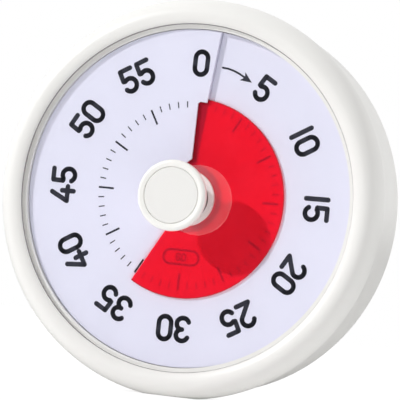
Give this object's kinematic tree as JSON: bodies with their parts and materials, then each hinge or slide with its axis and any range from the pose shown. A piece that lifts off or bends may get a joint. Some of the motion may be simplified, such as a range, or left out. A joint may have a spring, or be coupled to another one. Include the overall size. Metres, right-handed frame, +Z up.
{
  "type": "visual countdown timer",
  "caption": "Round white countdown timer with a numbered dial, a red disc that shows the time left, a clear lens, a centre knob and a fold-out stand.",
  "frame": {"origin": "middle of the bounding box in X and Y, on the floor under the flat foot", "axes": "+Z up, the dial faces -Y, +X to the viewer's right"},
  "size_m": [0.193, 0.0746, 0.192],
  "materials": {
    "shell_white": "smooth",
    "knob_white": "smooth",
    "clear": "polished",
    "dial_white": "satin",
    "red_film": "smooth",
    "steel": "plain",
    "brass": "plain",
    "copper": "plain",
    "gear_plastic": "satin",
    "iron": "plain",
    "case_grey": "satin",
    "board_green": "satin",
    "black_plastic": "satin",
    "battery_wrap": "smooth"
  },
  "bodies": {
    "case": {"rear_shell": "shell_white", "front_bezel": "shell_white", "lens": "clear", "dial_plate": "dial_white", "case_screws": "steel", "wheel_arbors": "steel", "stator_plate": "iron", "coil_core": "iron", "coil_bobbin": "gear_plastic", "coil_winding": "copper", "movement_case_front": "case_grey", "movement_case_rear": "case_grey", "movement_screws": "steel", "circuit_board": "board_green", "board_screws": "steel", "controller_chip": "black_plastic", "quartz_crystal": "steel", "buzzer_case": "black_plastic", "buzzer_disc": "brass", "switch_housing": "black_plastic", "battery": "battery_wrap", "battery_spring": "steel", "battery_contact": "steel", "magnets": "iron", "stand_pins": "steel"},
    "knob": {"knob_cap": "knob_white", "knob_insert": "knob_white", "knob_stem": "knob_white", "timer_shaft": "steel", "clutch_spring": "brass", "shaft_clip": "steel"},
    "disc": {"timer_disc": "red_film", "disc_hub": "knob_white"},
    "output": {"output_wheel": "gear_plastic"},
    "second": {"second_wheel": "gear_plastic"},
    "first": {"first_wheel": "gear_plastic"},
    "rotor": {"rotor_magnet": "iron", "rotor_pinion": "gear_plastic"},
    "volume": {"switch_knob": "black_plastic"},
    "door": {"battery_door": "shell_white"},
    "stand": {"kickstand": "shell_white"}
  },
  "joints": [
    {"name": "knob_turn", "type": "hinge", "parent": "case", "child": "knob", "pos_m": [0, -0.0227, 0.0955], "axis": [0, 1, 0], "range_deg": [-210, 150]},
    {"name": "disc_climb", "type": "slide", "parent": "knob", "child": "disc", "axis": [0, -1, 0], "range_m": [-0.00153, 0.0011]},
    {"name": "rotor_spin", "type": "hinge", "parent": "case", "child": "rotor", "pos_m": [0.00174, 0.0173, 0.07333], "axis": [0, 1, 0], "continuous": true},
    {"name": "first_spin", "type": "hinge", "parent": "case", "child": "first", "pos_m": [-0.01008, 0.0173, 0.07541], "axis": [0, 1, 0], "continuous": true},
    {"name": "second_spin", "type": "hinge", "parent": "case", "child": "second", "pos_m": [-0.01486, 0.0173, 0.08857], "axis": [0, 1, 0], "continuous": true},
    {"name": "output_spin", "type": "hinge", "parent": "case", "child": "output", "pos_m": [0, 0.0173, 0.0955], "axis": [0, 1, 0], "continuous": true},
    {"name": "volume_slide", "type": "slide", "parent": "case", "child": "volume", "axis": [1, 0, 0], "range_m": [-0.0025, 0.0025]},
    {"name": "door_pull", "type": "slide", "parent": "case", "child": "door", "axis": [0, 1, 0], "range_m": [0, 0.03]},
    {"name": "stand_swing", "type": "hinge", "parent": "case", "child": "stand", "pos_m": [0, 0.0355, 0.0865], "axis": [1, 0, 0], "range_deg": [0, 60]}
  ],
  "couplings": [
    {"joint": "disc_climb", "follows": "knob_turn", "m_per_rad": 0.0004138},
    {"joint": "first_spin", "follows": "rotor_spin", "ratio": -0.2},
    {"joint": "second_spin", "follows": "rotor_spin", "ratio": 0.033333},
    {"joint": "output_spin", "follows": "rotor_spin", "ratio": -0.0046296}
  ]
}
